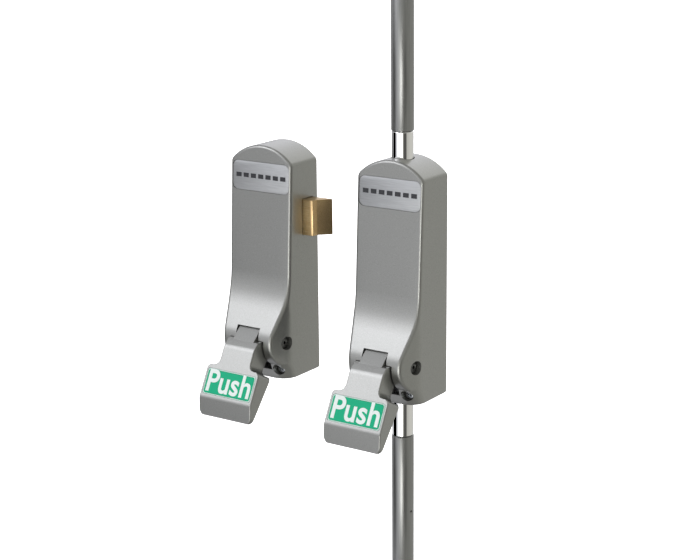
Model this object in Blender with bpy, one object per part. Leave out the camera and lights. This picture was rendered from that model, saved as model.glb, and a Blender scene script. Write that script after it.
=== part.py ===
"""Push-pad emergency exit set for a pair of doors, built as its real assembly.

The latch unit throws a sprung bolt sideways and the rod unit drives a rod up and a rod down.
Each has a die-cast cover over a steel backplate, and a hinged push pad that works the mechanism.

Drawing dimensions are in millimetres: x to the right, d is the distance out from the door,
z is the height above the bottom of the covers. The origin is on the door, at the middle of the
rod unit's backplate, so a point (x, d, z) becomes (x, -d, z - ORIGIN_HEIGHT), in metres.
"""
import math

import bmesh
import bpy
from mathutils import Matrix, Vector

MM = 0.001
GAP = 0.3                      # clearance kept between neighbouring pieces
ORIGIN_HEIGHT = 85.0
UNIT_PITCH = 111.0             # the latch unit stands this far to the left of the rod unit

COVER_HALF_WIDTH = 27.15
COVER_WALL = 2.3
FACE_TOP = (31.0, 172.0)       # d and z at the top of the sloping front face
FACE_END = (35.85, 78.0)       # where the front face starts to curve out
FACE_LEAN = math.atan2(FACE_END[0] - FACE_TOP[0], FACE_TOP[1] - FACE_END[1])
SWEEP_RADIUS = 60.0            # hollow curve that carries the face out to the nose
SWEEP_END_LEAN = math.radians(31.0)
NOSE_CENTRE = (33.3, 29.0)
NOSE_RADIUS = 20.0
LIP_HEIGHT = 13.6
SKIRT_TOP_DEPTH = 44.6         # the skirt under the lip leans back from here to the bottom
SKIRT_FOOT_DEPTH = 40.0
SKIRT_CORNER = 12.5
TAPER_START = 37.0             # beyond this depth the sides draw in towards the nose
TAPER_SLOPE = 0.358
ARCH_RADIUS = 37.0
ARCH_TOP = 171.0
ARCH_CORNER = 5.0
CAVITY_DEPTH = 30.0            # the nose is solid beyond this depth
CAVITY_STEP = 44.0             # above this height the cavity follows the front face

BADGE_HALF_WIDTH = 25.2
BADGE_LOW, BADGE_HIGH = 137.3, 158.6
BADGE_CORNER = 4.5
BADGE_THICK = 0.6

PIVOT = (39.0, 28.5)           # d and z of the pad's hinge axis
PIN_RADIUS = 3.0
PIN_HEAD_RADIUS = 4.4
PIN_HOLE_RADIUS = 5.0
TONGUE_HALF_WIDTH = 9.5
NOTCH_HALF_WIDTH = 10.2
NOTCH_TOP = 40.0
TONGUE_RADIUS = 14.3
NECK_HALF_WIDTH = 14.0
THROAT_HALF_WIDTH = 14.9
THROAT_LOW, THROAT_HIGH = 7.4, 31.4
PAD_HALF_WIDTH = 23.6
PAD_BEND = (61.0, 29.8)
PAD_CREASE = (81.15, -8.6)
PAD_LEAN = math.atan2(PAD_CREASE[0] - PAD_BEND[0], PAD_BEND[1] - PAD_CREASE[1])
PAD_SHOULDER = (57.75, 31.0)   # the neck slopes from here to 3.5 mm down the face
PAD_TRAVEL = math.radians(22.0)
LABEL_HALF_WIDTH = 21.65
LABEL_START, LABEL_END = 21.9, 40.8      # distances down the pad's face from its bend
FINGER_LENGTH = 23.7
FINGER_RADIUS = 3.2
FINGER_HALF_WIDTH = 4.5
LIFT = FINGER_LENGTH * math.sin(PAD_TRAVEL)      # travel of the carriages and the rods

PLATE_THICK = 2.5
PLATE_HALF_WIDTH = 23.5
SCREW_AT = (20.0, 8.0)         # x and z of a cover screw
SCREW_SEAT = 36.0
ROD_DEPTH = 15.3
ROD_RADIUS = 8.0
TUBE_BORE = 6.5
SPIGOT_RADIUS = 7.7
SPIGOT_END_RADIUS = 5.0
UPPER_TUBE = (189.7, 286.0)
LOWER_TUBE = (-146.0, -32.3)
UPPER_GUIDE, LOWER_GUIDE = 300.0, -160.0
TIP_LENGTH = 36.0

ARM_LAYER = (8.0, 12.0)        # depths of the sliding arms
LEVER_LAYER = (13.0, 16.0)     # depths of the levers in front of them
KEEPER_HEIGHT = 78.0
UPPER_KEEPER_HEIGHT = 116.0
LEVER_AT = (0.0, 96.0)
LEVER_ARM = 12.8
LEVER_SWING = 2.0 * math.asin(LIFT / 2.0 / LEVER_ARM)
DRIVE_PIN_RADIUS = 2.5
CRANK_AT = (-10.0, 96.9)
CRANK_SHORT = 11.5
CRANK_LONG = 22.9
CRANK_SWING = 2.0 * math.asin(LIFT / 2.0 / CRANK_SHORT)

BOLT_LOW, BOLT_HIGH = 105.8, 132.0
BOLT_BACK, BOLT_FRONT = 5.6, 18.5
BOLT_TIP = 44.7
BOLT_REAR = 10.0


def clear_scene():
    """Start from an empty scene."""
    for item in list(bpy.data.objects):
        bpy.data.objects.remove(item, do_unlink=True)


def material(name, colour, roughness, metallic):
    """A plain Principled finish for one piece."""
    finish = bpy.data.materials.new(name)
    finish.use_nodes = True
    shader = finish.node_tree.nodes["Principled BSDF"]
    shader.inputs["Base Color"].default_value = (*colour, 1.0)
    shader.inputs["Roughness"].default_value = roughness
    shader.inputs["Metallic"].default_value = metallic
    finish.diffuse_color = (*colour, 1.0)
    return finish


FINISHES = {
    "silver_paint": ((0.36, 0.36, 0.35), 0.42, 0.3),
    "zinc_plate": ((0.55, 0.56, 0.58), 0.35, 1.0),
    "steel": ((0.42, 0.42, 0.43), 0.35, 1.0),
    "spring_steel": ((0.3, 0.3, 0.31), 0.3, 1.0),
    "chrome": ((0.8, 0.8, 0.8), 0.06, 1.0),
    "brass": ((0.55, 0.36, 0.14), 0.32, 1.0),
    "rod_paint": ((0.21, 0.21, 0.21), 0.45, 0.2),
    "label_green": ((0.01, 0.42, 0.2), 0.4, 0.0),
    "badge_metal": ((0.48, 0.5, 0.54), 0.4, 0.6),
    "bearing_plastic": ((0.7, 0.69, 0.65), 0.5, 0.0),
}


def at(x, d, z):
    """Drawing coordinates to the part's own frame, in metres."""
    return Vector((x, -d, z - ORIGIN_HEIGHT)) * MM


def arc(centre, radius, start, end, steps):
    """Points along an arc, angles in degrees."""
    points = []
    for step in range(steps + 1):
        angle = math.radians(start + (end - start) * step / steps)
        points.append((centre[0] + radius * math.cos(angle), centre[1] + radius * math.sin(angle)))
    return points


def rounded(low, high, radius, steps=4):
    """A rectangle with round corners, from its two opposite corners."""
    (x0, y0), (x1, y1) = low, high
    points = arc((x1 - radius, y1 - radius), radius, 0, 90, steps)
    points += arc((x0 + radius, y1 - radius), radius, 90, 180, steps)
    points += arc((x0 + radius, y0 + radius), radius, 180, 270, steps)
    points += arc((x1 - radius, y0 + radius), radius, 270, 360, steps)
    return points


def capsule(start, end, radius, steps=8):
    """The outline of a flat link with round ends."""
    lean = math.degrees(math.atan2(end[1] - start[1], end[0] - start[0]))
    return (arc(end, radius, lean - 90, lean + 90, steps)
            + arc(start, radius, lean + 90, lean + 270, steps))


def new_object(name, mesh_maker):
    """Make an object from a function that fills a bmesh, with its faces turned outwards."""
    shape = bmesh.new()
    mesh_maker(shape)
    bmesh.ops.remove_doubles(shape, verts=shape.verts, dist=0.00001)
    bmesh.ops.recalc_face_normals(shape, faces=shape.faces)
    mesh = bpy.data.meshes.new(name)
    shape.to_mesh(mesh)
    shape.free()
    item = bpy.data.objects.new(name, mesh)
    bpy.context.scene.collection.objects.link(item)
    return item


def loft(name, rings, twisted=False):
    """A closed body through rings of equally many points; a twisted one is cut into triangles."""
    def fill(shape):
        loops = [[shape.verts.new(point) for point in ring] for ring in rings]
        for lower, upper in zip(loops, loops[1:]):
            for index in range(len(lower)):
                after = (index + 1) % len(lower)
                shape.faces.new((lower[index], lower[after], upper[after], upper[index]))
        shape.faces.new(loops[0])
        shape.faces.new(loops[-1])
        if twisted:
            bmesh.ops.triangulate(shape, faces=shape.faces)
    return new_object(name, fill)


def prism(name, outline, axis, low, high):
    """An outline pushed along one axis: x takes (d, z), d takes (x, z), z takes (x, d)."""
    place = {
        "x": lambda p, along: at(along, p[0], p[1]),
        "d": lambda p, along: at(p[0], along, p[1]),
        "z": lambda p, along: at(p[0], p[1], along),
    }[axis]
    return loft(name, [[place(point, along) for point in outline] for along in (low, high)])


def box(name, low, high):
    """A plain block between two corners, each (x, d, z)."""
    outline = [(low[0], low[1]), (high[0], low[1]), (high[0], high[1]), (low[0], high[1])]
    return prism(name, outline, "z", low[2], high[2])


def turned(name, axis, centre, stations, sides=16):
    """A turned piece: stations are (distance along the axis, radius)."""
    place = {
        "x": lambda along, u, v: at(along, centre[0] + u, centre[1] + v),
        "d": lambda along, u, v: at(centre[0] + u, along, centre[1] + v),
        "z": lambda along, u, v: at(centre[0] + u, centre[1] + v, along),
    }[axis]
    rings = []
    for along, radius in stations:
        ring = arc((0.0, 0.0), radius, 0, 360 - 360 / sides, sides - 1)
        rings.append([place(along, u, v) for u, v in ring])
    return loft(name, rings)


def combine(item, others, operation):
    """Apply an exact Boolean with each of the other objects, which are then removed."""
    for other in others:
        modifier = item.modifiers.new(operation.lower(), "BOOLEAN")
        modifier.operation = operation
        modifier.solver = "EXACT"
        modifier.object = other
        bpy.context.view_layer.update()
        result = item.evaluated_get(bpy.context.evaluated_depsgraph_get())
        mesh = bpy.data.meshes.new_from_object(result)
        item.modifiers.clear()
        item.data = mesh
        bpy.data.objects.remove(other, do_unlink=True)
    return item


def cut(item, *others):
    return combine(item, others, "DIFFERENCE")


def fuse(item, *others):
    return combine(item, others, "UNION")


def common(item, *others):
    return combine(item, others, "INTERSECT")


def axis_at(name, x, d, z):
    """An empty that marks a joint's axis, for the moving pieces to hang on."""
    empty = bpy.data.objects.new(name, None)
    empty.empty_display_size = 0.01
    empty.location = at(x, d, z)
    bpy.context.scene.collection.objects.link(empty)
    return empty


def finish(item, name, finish_name, unit_x=0.0, pivot=None, smooth=True):
    """Name a piece, give it its finish, move it to its unit and hang it on its axis."""
    item.name = name
    item.data.name = name
    item.data.transform(Matrix.Translation((unit_x * MM, 0.0, 0.0)))
    item.data.materials.clear()
    item.data.materials.append(material(name, *FINISHES[finish_name]))
    if smooth:
        item.data.shade_smooth()
        item.data.set_sharp_from_angle(angle=math.radians(35.0))
    if pivot is not None:
        item.data.transform(Matrix.Translation(-pivot.location))
        item.parent = pivot
    return item


def face_depth(z):
    """Depth of the cover's front at height z, from the dome down to the lip."""
    if z >= FACE_END[1]:
        return FACE_END[0] - (z - FACE_END[1]) * math.tan(FACE_LEAN)
    centre = (FACE_END[0] + SWEEP_RADIUS * math.cos(FACE_LEAN),
              FACE_END[1] + SWEEP_RADIUS * math.sin(FACE_LEAN))
    sweep_end = centre[1] - SWEEP_RADIUS * math.sin(SWEEP_END_LEAN)
    if z >= sweep_end:
        return centre[0] - math.sqrt(SWEEP_RADIUS ** 2 - (centre[1] - z) ** 2)
    nose_start = (NOSE_CENTRE[0] + NOSE_RADIUS * math.cos(SWEEP_END_LEAN),
                  NOSE_CENTRE[1] + NOSE_RADIUS * math.sin(SWEEP_END_LEAN))
    if z >= nose_start[1]:
        sweep_depth = centre[0] - SWEEP_RADIUS * math.cos(SWEEP_END_LEAN)
        share = (sweep_end - z) / (sweep_end - nose_start[1])
        return sweep_depth + (nose_start[0] - sweep_depth) * share
    return NOSE_CENTRE[0] + math.sqrt(NOSE_RADIUS ** 2 - (z - NOSE_CENTRE[1]) ** 2)


def side_at(depth):
    """Half width of the cover at a depth, where the sides draw in towards the nose."""
    return COVER_HALF_WIDTH - max(0.0, depth - TAPER_START) * TAPER_SLOPE


def cover_section(z, wall=0.0, back=0.0):
    """One level section through the cover, as (x, d) points, from the back round the front."""
    flank = COVER_HALF_WIDTH - SKIRT_CORNER
    corner = arc((flank, SKIRT_FOOT_DEPTH - SKIRT_CORNER), SKIRT_CORNER - wall, 0, 90, 4)
    if z > LIP_HEIGHT - 0.6:
        front = face_depth(max(z, LIP_HEIGHT)) - wall
        share = 1.0
    else:
        front = SKIRT_TOP_DEPTH - wall
        share = max(0.0, z / (LIP_HEIGHT - 0.6))
    knee = min(TAPER_START, front - 2.0)
    shoulder = side_at(front - 1.0) - wall
    upper = [(COVER_HALF_WIDTH - wall, knee - 4.0), (side_at(knee) - wall, knee),
             (shoulder, front - 0.8), (min(side_at(front) - wall, shoulder) - 0.8, front), (flank, front)]
    right = [(COVER_HALF_WIDTH - wall, back)]
    for low, high in zip(corner, upper):
        right.append((low[0] + (high[0] - low[0]) * share, low[1] + (high[1] - low[1]) * share))
    return right + [(-x, d) for x, d in reversed(right)]


def cover_arch(half_width, radius, top, low, corner):
    """The front outline of the cover: straight sides under a shallow arch."""
    centre = top - radius
    # the corner arc touches both the side and the arch from inside
    inner_x = half_width - corner
    inner_z = centre + math.sqrt((radius - corner) ** 2 - inner_x ** 2)
    lean = math.degrees(math.atan2(inner_z - centre, inner_x))
    right = [(half_width + 1.0, low)] + arc((inner_x, inner_z), corner, 0, lean, 4)
    right += arc((0.0, centre), radius, lean, 90, 8)[1:]
    return right + [(-x, z) for x, z in reversed(right[:-1])]


def make_cover(name, unit_x, side_cutters):
    """The die-cast cover: one shell, open at the back, with solid cheeks that carry the hinge."""
    heights = [0.0, 2.6, 8.2, LIP_HEIGHT - 0.6, LIP_HEIGHT, 17.0, 22.0, 28.7, 34.3, 39.3, 44.3, 50.2,
               57.0, 64.0, 71.0, 78.0, FACE_TOP[1]]
    rings = []
    for z in heights:
        ring = cover_section(z, back=2.6 if z == 0.0 else 0.0)
        rings.append([at(x, d, z) for x, d in ring])
    cover = loft(name, rings, True)
    arch = cover_arch(COVER_HALF_WIDTH + 0.02, ARCH_RADIUS, ARCH_TOP, -1.0, ARCH_CORNER)
    cover = common(cover, prism("arch", arch, "d", -1.0, 60.0))

    lower = prism("lower", cover_section(CAVITY_STEP, COVER_WALL, -1.0), "z", COVER_WALL, CAVITY_STEP + 1.0)
    lower = common(lower, box("limit", (-30, -2, 0), (30, CAVITY_DEPTH, 60)))
    levels = [CAVITY_STEP, 50.2, 57.0, 64.0, 71.0, 78.0, FACE_TOP[1]]
    upper = loft("upper", [[at(x, d, z) for x, d in cover_section(z, COVER_WALL, -1.0)] for z in levels], True)
    arch = cover_arch(COVER_HALF_WIDTH - COVER_WALL + 0.02, ARCH_RADIUS - COVER_WALL, ARCH_TOP - COVER_WALL,
                      40.0, ARCH_CORNER - COVER_WALL)
    upper = common(upper, prism("arch", arch, "d", -2.0, 60.0))
    cover = cut(cover, lower, upper)

    swing = turned("swing", "x", PIVOT, [(-NOTCH_HALF_WIDTH, TONGUE_RADIUS + 0.6),
                                         (NOTCH_HALF_WIDTH, TONGUE_RADIUS + 0.6)], 28)
    notch = box("notch", (-NOTCH_HALF_WIDTH, 29.0, 20.0), (NOTCH_HALF_WIDTH, 60.0, NOTCH_TOP))
    throat = box("throat", (-THROAT_HALF_WIDTH, 29.5, THROAT_LOW), (THROAT_HALF_WIDTH, 62.0, THROAT_HIGH))
    cover = cut(cover, swing, notch, throat)

    bore = turned("bore", "x", PIVOT, [(-30, PIN_RADIUS + GAP), (30, PIN_RADIUS + GAP)])
    sinks = [turned("sink", "x", PIVOT, [(19.5, PIN_HOLE_RADIUS), (30, PIN_HOLE_RADIUS)], 24),
             turned("sink", "x", PIVOT, [(-30, PIN_HOLE_RADIUS), (-19.5, PIN_HOLE_RADIUS)], 24)]
    cover = cut(cover, bore, *sinks)
    for side in (-1, 1):
        centre = (side * SCREW_AT[0], SCREW_AT[1])
        seat = turned("seat", "d", centre, [(SCREW_SEAT, 4.2), (50, 4.2)], 20)
        hole = turned("hole", "d", centre, [(28, 2.35), (40, 2.35)], 16)
        cover = cut(cover, seat, hole)
        rib = box("rib", (side * 16 - 4, 4.0, 149.2), (side * 16 + 4, 32.0, 151.4))
        rib = common(rib, prism("within", cover_section(151.4, 0.6), "z", 140, 160))
        cover = fuse(cover, rib)

    cover = cut(cover, leaning_plate("recess", BADGE_HALF_WIDTH + 0.3, BADGE_LOW - 0.3, BADGE_HIGH + 0.3,
                                     BADGE_CORNER + 0.3, -1.1, 3.0))
    cover = cut(cover, *side_cutters)
    return finish(cover, name, "silver_paint", unit_x)


def leaning_plate(name, half_width, low, high, corner, inner, outer):
    """A plate on the sloping front face; inner and outer are measured out from that face."""
    outline = rounded((-half_width, low), (half_width, high), corner, 5)
    slope = math.tan(FACE_LEAN)
    rings = []
    for level in (inner, outer):
        rings.append([at(x, face_depth(z) + level, z + level * slope) for x, z in outline])
    return loft(name, rings)


def make_badge(name, unit_x):
    """The name plate's blank, set just below the face in its recess."""
    plate = leaning_plate(name, BADGE_HALF_WIDTH, BADGE_LOW, BADGE_HIGH, BADGE_CORNER, -BADGE_THICK - 0.2, -0.2)
    return finish(plate, name, "badge_metal", unit_x)


def make_backplate(name, unit_x, keeper_heights, extra_tabs):
    """The steel backplate, with the pillars and tabs that hold everything inside."""
    outline = rounded((-PLATE_HALF_WIDTH, 4.0), (PLATE_HALF_WIDTH, 158.0), 4.0, 3)
    plate = prism(name, outline, "d", 0.0, PLATE_THICK)
    for side in (-1, 1):
        pillar = turned("pillar", "d", (side * SCREW_AT[0], SCREW_AT[1]), [(1.0, 4.0), (26.0, 4.0)], 12)
        bore = turned("bore", "d", (side * SCREW_AT[0], SCREW_AT[1]), [(15.0, 2.3), (30.0, 2.3)], 12)
        tab = box("tab", (side * 16 - 4, 1.0, 151.9), (side * 16 + 4, 9.0, 154.0))
        plate = fuse(plate, cut(pillar, bore), tab)
        for height in keeper_heights:
            post = turned("post", "d", (side * 20.3, height), [(1.0, 3.0), (12.1, 3.0)], 12)
            hole = turned("hole", "d", (side * 20.3, height), [(5.0, 1.8), (14.0, 1.8)], 12)
            plate = fuse(plate, cut(post, hole))
        for height in (34.0, 140.0):
            plate = cut(plate, turned("fixing", "d", (side * 18.5, height), [(-1.0, 2.7), (4.0, 2.7)], 16))
    plate = fuse(plate, *extra_tabs)
    return finish(plate, name, "zinc_plate", unit_x)


def make_screw(name, unit_x, centre, seat, head_radius, shank_radius, end):
    """A machine screw along d; its slightly domed head rises from the seat."""
    crown = seat + head_radius * 0.65
    body = turned("screw", "d", centre, [
        (end, shank_radius), (seat, shank_radius), (seat, head_radius), (crown - 0.5, head_radius),
        (crown, head_radius - 0.7)], 10)
    return finish(body, name, "zinc_plate", unit_x)


def make_cover_screws(prefix, unit_x):
    for side, word in ((-1, "left"), (1, "right")):
        make_screw(prefix + "_cover_screw_" + word, unit_x, (side * SCREW_AT[0], SCREW_AT[1]),
                   SCREW_SEAT + GAP, 3.6, 2.0, 16.0)


def make_keeper(name, unit_x, height, seat_tab):
    """A bridge over the sliding arms; the lower one has a tab that the return spring bears on."""
    strip = box(name, (-23.0, 12.4, height - 5.0), (23.0, 14.4, height + 5.0))
    if seat_tab:
        strip = fuse(strip, box("tab", (-6.0, 13.0, height + 2.0), (6.0, 25.0, height + 4.0)))
    for side in (-1, 1):
        strip = cut(strip, turned("hole", "d", (side * 20.3, height), [(10, 1.8), (16, 1.8)], 12))
    return finish(strip, name, "zinc_plate", unit_x)


def make_keeper_screws(prefix, unit_x, height):
    for side, word in ((-1, "left"), (1, "right")):
        make_screw(prefix + "_screw_" + word, unit_x, (side * 20.3, height), 14.4 + GAP, 2.9, 1.5, 6.0)


def make_hinge_pin(names, unit_x):
    """The pad's hinge pin has a socket head at one end and a sleeve nut on the other."""
    pin = turned(names[0], "x", PIVOT, [(-17.0, PIN_RADIUS), (19.8, PIN_RADIUS), (19.8, PIN_HEAD_RADIUS),
                                        (23.4, PIN_HEAD_RADIUS), (23.8, PIN_HEAD_RADIUS - 0.4)], 20)
    pin = cut(pin, turned("socket", "x", PIVOT, [(21.2, 2.3), (25.0, 2.3)], 6))
    nut = turned(names[1], "x", PIVOT, [(-23.8, PIN_HEAD_RADIUS - 0.4), (-23.4, PIN_HEAD_RADIUS),
                                        (-19.8, PIN_HEAD_RADIUS), (-19.8, PIN_RADIUS),
                                        (-17.3, PIN_RADIUS)], 20)
    nut = cut(nut, turned("socket", "x", PIVOT, [(-25.0, 2.3), (-21.2, 2.3)], 6))
    return [finish(pin, names[0], "steel", unit_x), finish(nut, names[1], "steel", unit_x)]


def face_point(down, inward):
    """A point in the pad's side view, from distances down its face and in behind it."""
    lean = PAD_LEAN
    return (PAD_BEND[0] + down * math.sin(lean) - inward * math.cos(lean),
            PAD_BEND[1] - down * math.cos(lean) - inward * math.sin(lean))


def face_prism(name, outline, inner, outer):
    """An outline given on the pad's face as (x, distance down), pushed square to that face."""
    rings = []
    for inward in (inner, outer):
        rings.append([at(x, *face_point(down, inward)) for x, down in outline])
    return loft(name, rings)


def pad_outline():
    """The pad seen square to its face: a neck, round shoulders and a wide paddle."""
    shoulder, fillet, corner, foot = 18.6, 5.0, 3.5, 56.2
    right = [(NECK_HALF_WIDTH, -30.0)]
    right += arc((NECK_HALF_WIDTH + fillet, shoulder - fillet), fillet, 180, 90, 4)
    right += arc((PAD_HALF_WIDTH - corner, shoulder + corner), corner, -90, 0, 4)
    right += arc((PAD_HALF_WIDTH - corner, foot - corner), corner, 0, 90, 4)
    return right + [(-x, down) for x, down in reversed(right)]


def make_push_pad(name, unit_x, pivot):
    """The pad: paddle and neck in one casting with the tongue, the hub and the lifting finger."""
    side = [PAD_SHOULDER, face_point(3.5, 0.0), PAD_CREASE, (81.9, -22.2), (81.2, -22.9), (79.8, -22.9),
            (47.9, 15.6), (44.8, 22.0), (44.8, 31.0)]
    pad = prism(name, side, "x", -PAD_HALF_WIDTH - 1, PAD_HALF_WIDTH + 1)
    pad = common(pad, face_prism("outline", pad_outline(), -6.0, 40.0))
    pocket = [face_point(22.4, 3.0), face_point(43.0, 3.0), (78.7, -18.0), (72.0, -18.0), (55.5, 2.0)]
    pad = cut(pad, prism("pocket", pocket, "x", -PAD_HALF_WIDTH + 2.6, PAD_HALF_WIDTH - 2.6))

    sweep = arc(PIVOT, TONGUE_RADIUS, math.degrees(math.atan2(39.8 - PIVOT[1], 47.8 - PIVOT[0])), 96, 6)
    tongue = [(58.0, 24.0), (PAD_SHOULDER[0] - 0.15, PAD_SHOULDER[1] - 0.1)] + sweep
    tongue += [(34.0, 37.0), (31.5, 31.9), (31.5, 25.3), (36.0, 21.8), (47.0, 20.0)]
    hub = prism("tongue", tongue, "x", -TONGUE_HALF_WIDTH, TONGUE_HALF_WIDTH)
    tip = (PIVOT[0] - FINGER_LENGTH, PIVOT[1])
    finger = prism("finger", capsule((34.0, PIVOT[1]), tip, FINGER_RADIUS, 8), "x",
                   -FINGER_HALF_WIDTH, FINGER_HALF_WIDTH)
    bore = turned("bore", "x", PIVOT, [(-12, 5.2), (12, 5.2)])
    pad = fuse(pad, hub, finger)
    pad = cut(pad, bore)
    margin = 0.3
    recess = rounded((-LABEL_HALF_WIDTH - margin, LABEL_START - margin),
                     (LABEL_HALF_WIDTH + margin, LABEL_END + margin), 2.0, 3)
    pad = cut(pad, face_prism("recess", recess, -2.0, 0.8))
    return finish(pad, name, "silver_paint", unit_x, pivot)


def make_label(name, unit_x, pivot):
    """The green plate that says where to push, inlaid in the pad's face."""
    outline = rounded((-LABEL_HALF_WIDTH, LABEL_START), (LABEL_HALF_WIDTH, LABEL_END), 1.8, 3)
    return finish(face_prism(name, outline, 0.0, 0.5), name, "label_green", unit_x, pivot)


def make_bushes(prefix, unit_x, pivot):
    """Two plastic bushes that the pad's hub turns on."""
    for word, low, high in (("left", -TONGUE_HALF_WIDTH, -4.0), ("right", 4.0, TONGUE_HALF_WIDTH)):
        ring = turned("bush", "x", PIVOT, [(low, 4.9), (high, 4.9)], 12)
        ring = cut(ring, turned("bore", "x", PIVOT, [(low - 1, 3.4), (high + 1, 3.4)], 12))
        finish(ring, prefix + "_pad_bush_" + word, "bearing_plastic", unit_x, pivot)


def finger_block(name, low):
    """The block that the finger lifts: a notch in its front lets the finger in under a ledge."""
    block = box(name, (-9.0, 8.0, low), (9.0, 22.6, 44.0))
    ledge = PIVOT[1] + FINGER_RADIUS + GAP
    return cut(block, box("notch", (-5.2, 10.5, 21.0), (5.2, 24.0, ledge)))


def slotted_arm(name, x_low, x_high, z_low, z_high, slot_x, slot_z, upright):
    """A sliding arm with the slot that a lever's drive pin runs in."""
    arm = box(name, (x_low, ARM_LAYER[0], z_low), (x_high, ARM_LAYER[1], z_high))
    half = DRIVE_PIN_RADIUS + 0.45
    if upright:
        outline = capsule((slot_x, slot_z[0]), (slot_x, slot_z[1]), half, 6)
    else:
        outline = capsule((slot_x[0], slot_z), (slot_x[1], slot_z), half, 6)
    return cut(arm, prism("slot", outline, "d", 5.0, 15.0))


def joint_bore(z_low, z_high):
    """The cutter for a rod's end, along the rod's axis."""
    return turned("bore", "z", (0.0, ROD_DEPTH), [(z_low, SPIGOT_END_RADIUS + GAP),
                                                  (z_high, SPIGOT_END_RADIUS + GAP)])


def cross_hole(z):
    return turned("cross", "x", (ROD_DEPTH, z), [(-12, 1.8), (12, 1.8)], 12)


def make_lower_carriage(pivot):
    """Lifted by the rod unit's finger; it carries the lower rod and works the reversing lever."""
    drop = LEVER_ARM * math.sin(LEVER_SWING / 2.0)
    reach = LEVER_ARM * math.cos(LEVER_SWING / 2.0)
    block = cut(finger_block("lower_carriage", 8.0), joint_bore(5.0, 20.0), cross_hole(14.0))
    arm = slotted_arm("arm", 7.0, 16.9, 36.0, 97.0, (reach, LEVER_ARM), LEVER_AT[1] - drop, False)
    return finish(fuse(block, arm), "lower_carriage", "zinc_plate", 0.0, pivot)


def make_upper_carriage(pivot):
    """Drawn down by the reversing lever; it carries the upper rod."""
    rise = LEVER_ARM * math.sin(LEVER_SWING / 2.0)
    reach = LEVER_ARM * math.cos(LEVER_SWING / 2.0)
    block = cut(box("upper_carriage", (-9.0, 8.0, 138.0), (9.0, 22.6, 155.0)),
                joint_bore(142.0, 160.0), cross_hole(148.5))
    arm = slotted_arm("arm", -16.9, -7.0, 95.0, 146.0, (-LEVER_ARM, -reach), LEVER_AT[1] + rise, False)
    return finish(fuse(block, arm), "upper_carriage", "zinc_plate", 0.0, pivot)


def make_lift_slide(pivot, unit_x):
    """Lifted by the latch unit's finger; its slot works the bell crank."""
    drop = CRANK_SHORT * math.sin(CRANK_SWING / 2.0)
    reach = CRANK_SHORT * math.cos(CRANK_SWING / 2.0)
    pin_x = CRANK_AT[0] + reach
    arm = slotted_arm("arm", -4.6, 8.0, 36.0, 96.4, (pin_x, CRANK_AT[0] + CRANK_SHORT),
                      CRANK_AT[1] - drop, False)
    return finish(fuse(finger_block("lift_slide", 16.0), arm), "lift_slide", "zinc_plate", unit_x, pivot)


def lever_plate(name, centre, ends, half_width):
    """A flat lever: links from the hub to each drive pin, with the pins standing out behind."""
    plate = turned(name, "d", centre, [(LEVER_LAYER[0], 7.0), (LEVER_LAYER[1], 7.0)], 20)
    for end in ends:
        link = prism("link", capsule(centre, end, half_width, 6), "d", *LEVER_LAYER)
        pin = turned("pin", "d", end, [(7.4, DRIVE_PIN_RADIUS), (LEVER_LAYER[0] + 1.0, DRIVE_PIN_RADIUS)], 14)
        plate = fuse(plate, link, pin)
    return cut(plate, turned("bore", "d", centre, [(10, 3.8), (20, 3.8)], 16))


def make_reversing_lever(pivot):
    """Turns the lower carriage's rise into the upper carriage's fall."""
    half = LEVER_SWING / 2.0
    ends = [(LEVER_AT[0] + side * LEVER_ARM * math.cos(half), LEVER_AT[1] - side * LEVER_ARM * math.sin(half))
            for side in (1, -1)]
    lever = lever_plate("reversing_lever", LEVER_AT, ends, 4.5)
    return finish(lever, "reversing_lever", "zinc_plate", 0.0, pivot)


def make_bell_crank(pivot, unit_x):
    """Turns the slide's rise into the bolt's retraction, about twice as far."""
    half = CRANK_SWING / 2.0
    ends = [(CRANK_AT[0] + CRANK_SHORT * math.cos(half), CRANK_AT[1] - CRANK_SHORT * math.sin(half)),
            (CRANK_AT[0] + CRANK_LONG * math.sin(half), CRANK_AT[1] + CRANK_LONG * math.cos(half))]
    crank = lever_plate("bell_crank", CRANK_AT, ends, 3.8)
    return finish(crank, "bell_crank", "zinc_plate", unit_x, pivot)


def make_stud(names, unit_x, centre):
    """A shouldered stud on the backplate and the clip that keeps a lever on it."""
    stud = turned(names[0], "d", centre, [
        (PLATE_THICK + GAP, 5.0), (12.7, 5.0), (12.7, 3.5), (16.5, 3.5), (16.5, 2.6), (17.7, 2.6),
        (17.7, 3.5), (19.0, 3.5), (19.5, 3.0)], 16)
    outline = arc(centre, 5.6, -55, 235, 14) + arc(centre, 2.9, 235, -55, 14)
    clip = prism(names[1], outline, "d", 16.8, 17.4)
    return [finish(stud, names[0], "steel", unit_x), finish(clip, names[1], "spring_steel", unit_x)]


def make_spring(name, unit_x, start, end, radius, wire, turns):
    """A compression spring between two points, as one swept wire with closed ends."""
    origin, along = Vector(start), Vector(end) - Vector(start)
    length = along.length
    along.normalize()
    side = along.orthogonal().normalized()
    other = along.cross(side)
    per_turn, sides = 8, 4
    count = int(turns * per_turn)
    path = []
    for step in range(count + 1):
        angle = 2.0 * math.pi * step / per_turn
        rise = wire + (length - 2.0 * wire) * step / count
        path.append(origin + along * rise + radius * (math.cos(angle) * side + math.sin(angle) * other))
    rings = []
    for index, point in enumerate(path):
        ahead = path[min(index + 1, count)] - path[max(index - 1, 0)]
        ahead.normalize()
        outward = (point - origin) - (point - origin).dot(along) * along
        outward = (outward - outward.dot(ahead) * ahead).normalized()
        across = ahead.cross(outward)
        ring = []
        for corner in range(sides):
            turn = 2.0 * math.pi * corner / sides
            ring.append(at(*(point + wire * (math.cos(turn) * outward + math.sin(turn) * across))))
        rings.append(ring)
    return finish(loft(name, rings), name, "spring_steel", unit_x)


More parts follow.
